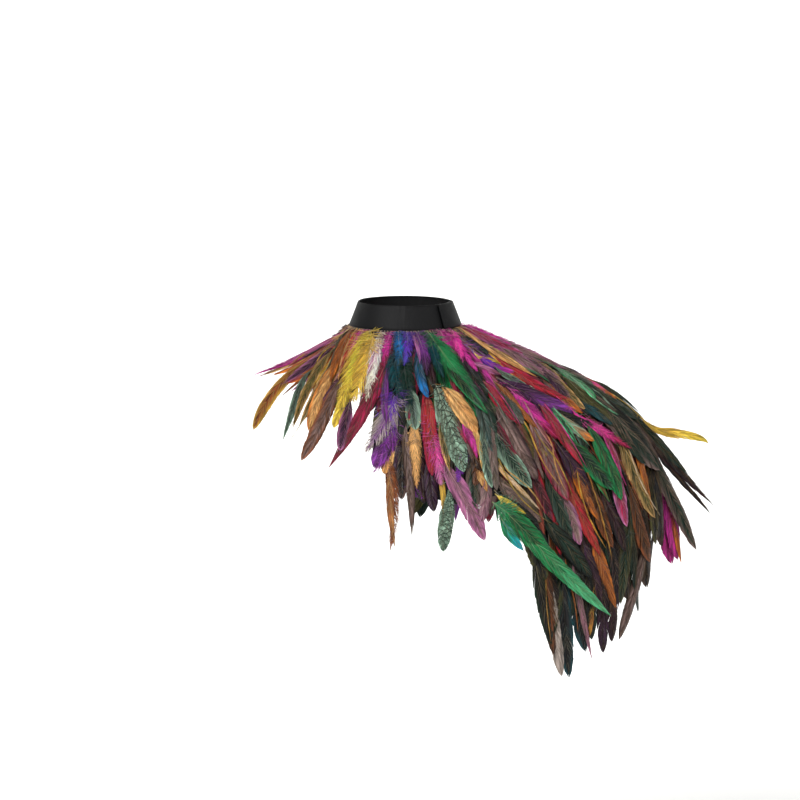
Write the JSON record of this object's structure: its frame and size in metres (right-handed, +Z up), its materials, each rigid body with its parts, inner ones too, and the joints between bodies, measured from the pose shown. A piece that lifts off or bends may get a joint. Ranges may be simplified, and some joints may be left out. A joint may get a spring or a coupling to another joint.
{
  "type": "feather shawl collar",
  "caption": "One-sided shawl collar: a flared ribbon neckband with a short fringe of dyed feathers round the neck and layered feather tiers over one shoulder.",
  "frame": {"origin": "on the neck's axis, at the level of the neckband's lower edge", "axes": "+Z up along the neck, -Y to the front, +X over the wearer's left shoulder, where the tiers are"},
  "size_m": [0.4862, 0.311, 0.3903],
  "materials": {
    "ribbon": "matt black ribbon with a faint sheen",
    "hook_and_loop": "short black pile",
    "backing_cloth": "matt black woven cloth",
    "neck_row_short_side_feathers": "dyed rooster feathers, mixed colours, softly glossy",
    "neck_row_front_feathers": "dyed rooster feathers, mixed colours, softly glossy",
    "neck_row_shoulder_side_feathers": "dyed rooster feathers, mixed colours, softly glossy",
    "neck_row_back_feathers": "dyed rooster feathers, mixed colours, softly glossy",
    "upper_tier_front_feathers": "dyed rooster feathers, mixed colours, softly glossy",
    "upper_tier_back_feathers": "dyed rooster feathers, mixed colours, softly glossy",
    "middle_tier_front_feathers": "dyed rooster feathers, mixed colours, softly glossy",
    "middle_tier_back_feathers": "dyed rooster feathers, mixed colours, softly glossy",
    "lower_tier_front_feathers": "dyed rooster feathers, mixed colours, softly glossy",
    "lower_tier_back_feathers": "dyed rooster feathers, mixed colours, softly glossy"
  },
  "bodies": {
    "root": {"neck_band": "ribbon", "band_fastener": "hook_and_loop", "shoulder_backing": "backing_cloth", "neck_row_short_side": "neck_row_short_side_feathers", "neck_row_front": "neck_row_front_feathers", "neck_row_shoulder_side": "neck_row_shoulder_side_feathers", "neck_row_back": "neck_row_back_feathers", "upper_tier_front": "upper_tier_front_feathers", "upper_tier_back": "upper_tier_back_feathers", "middle_tier_front": "middle_tier_front_feathers", "middle_tier_back": "middle_tier_back_feathers", "lower_tier_front": "lower_tier_front_feathers", "lower_tier_back": "lower_tier_back_feathers"}
  },
  "joints": []
}
